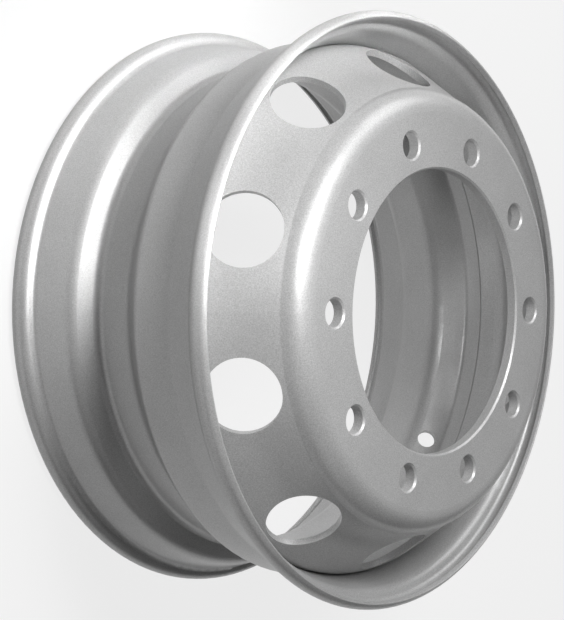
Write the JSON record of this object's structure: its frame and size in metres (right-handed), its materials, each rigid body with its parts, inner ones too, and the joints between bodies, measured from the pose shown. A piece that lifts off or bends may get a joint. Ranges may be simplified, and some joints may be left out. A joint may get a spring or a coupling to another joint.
{
  "type": "truck wheel rim",
  "caption": "Steel disc wheel for a truck or bus: drop-centre rim with tapered bead seats, dished disc with a large hub bore, a bolt circle and round hand holes.",
  "frame": {"origin": "centre of the bolt circle, on the disc's inner face, where the wheel seats on the hub", "axes": "+Z along the axle towards the wheel's outer side; +X from the axle through a bolt hole; the wheel lies on its hub-side flange"},
  "size_m": [0.5968, 0.5968, 0.2971],
  "materials": {
    "silver_paint": "glossy silver enamel"
  },
  "bodies": {
    "root": {"rim": "silver_paint", "disc": "silver_paint", "disc_weld": "silver_paint"}
  },
  "joints": []
}
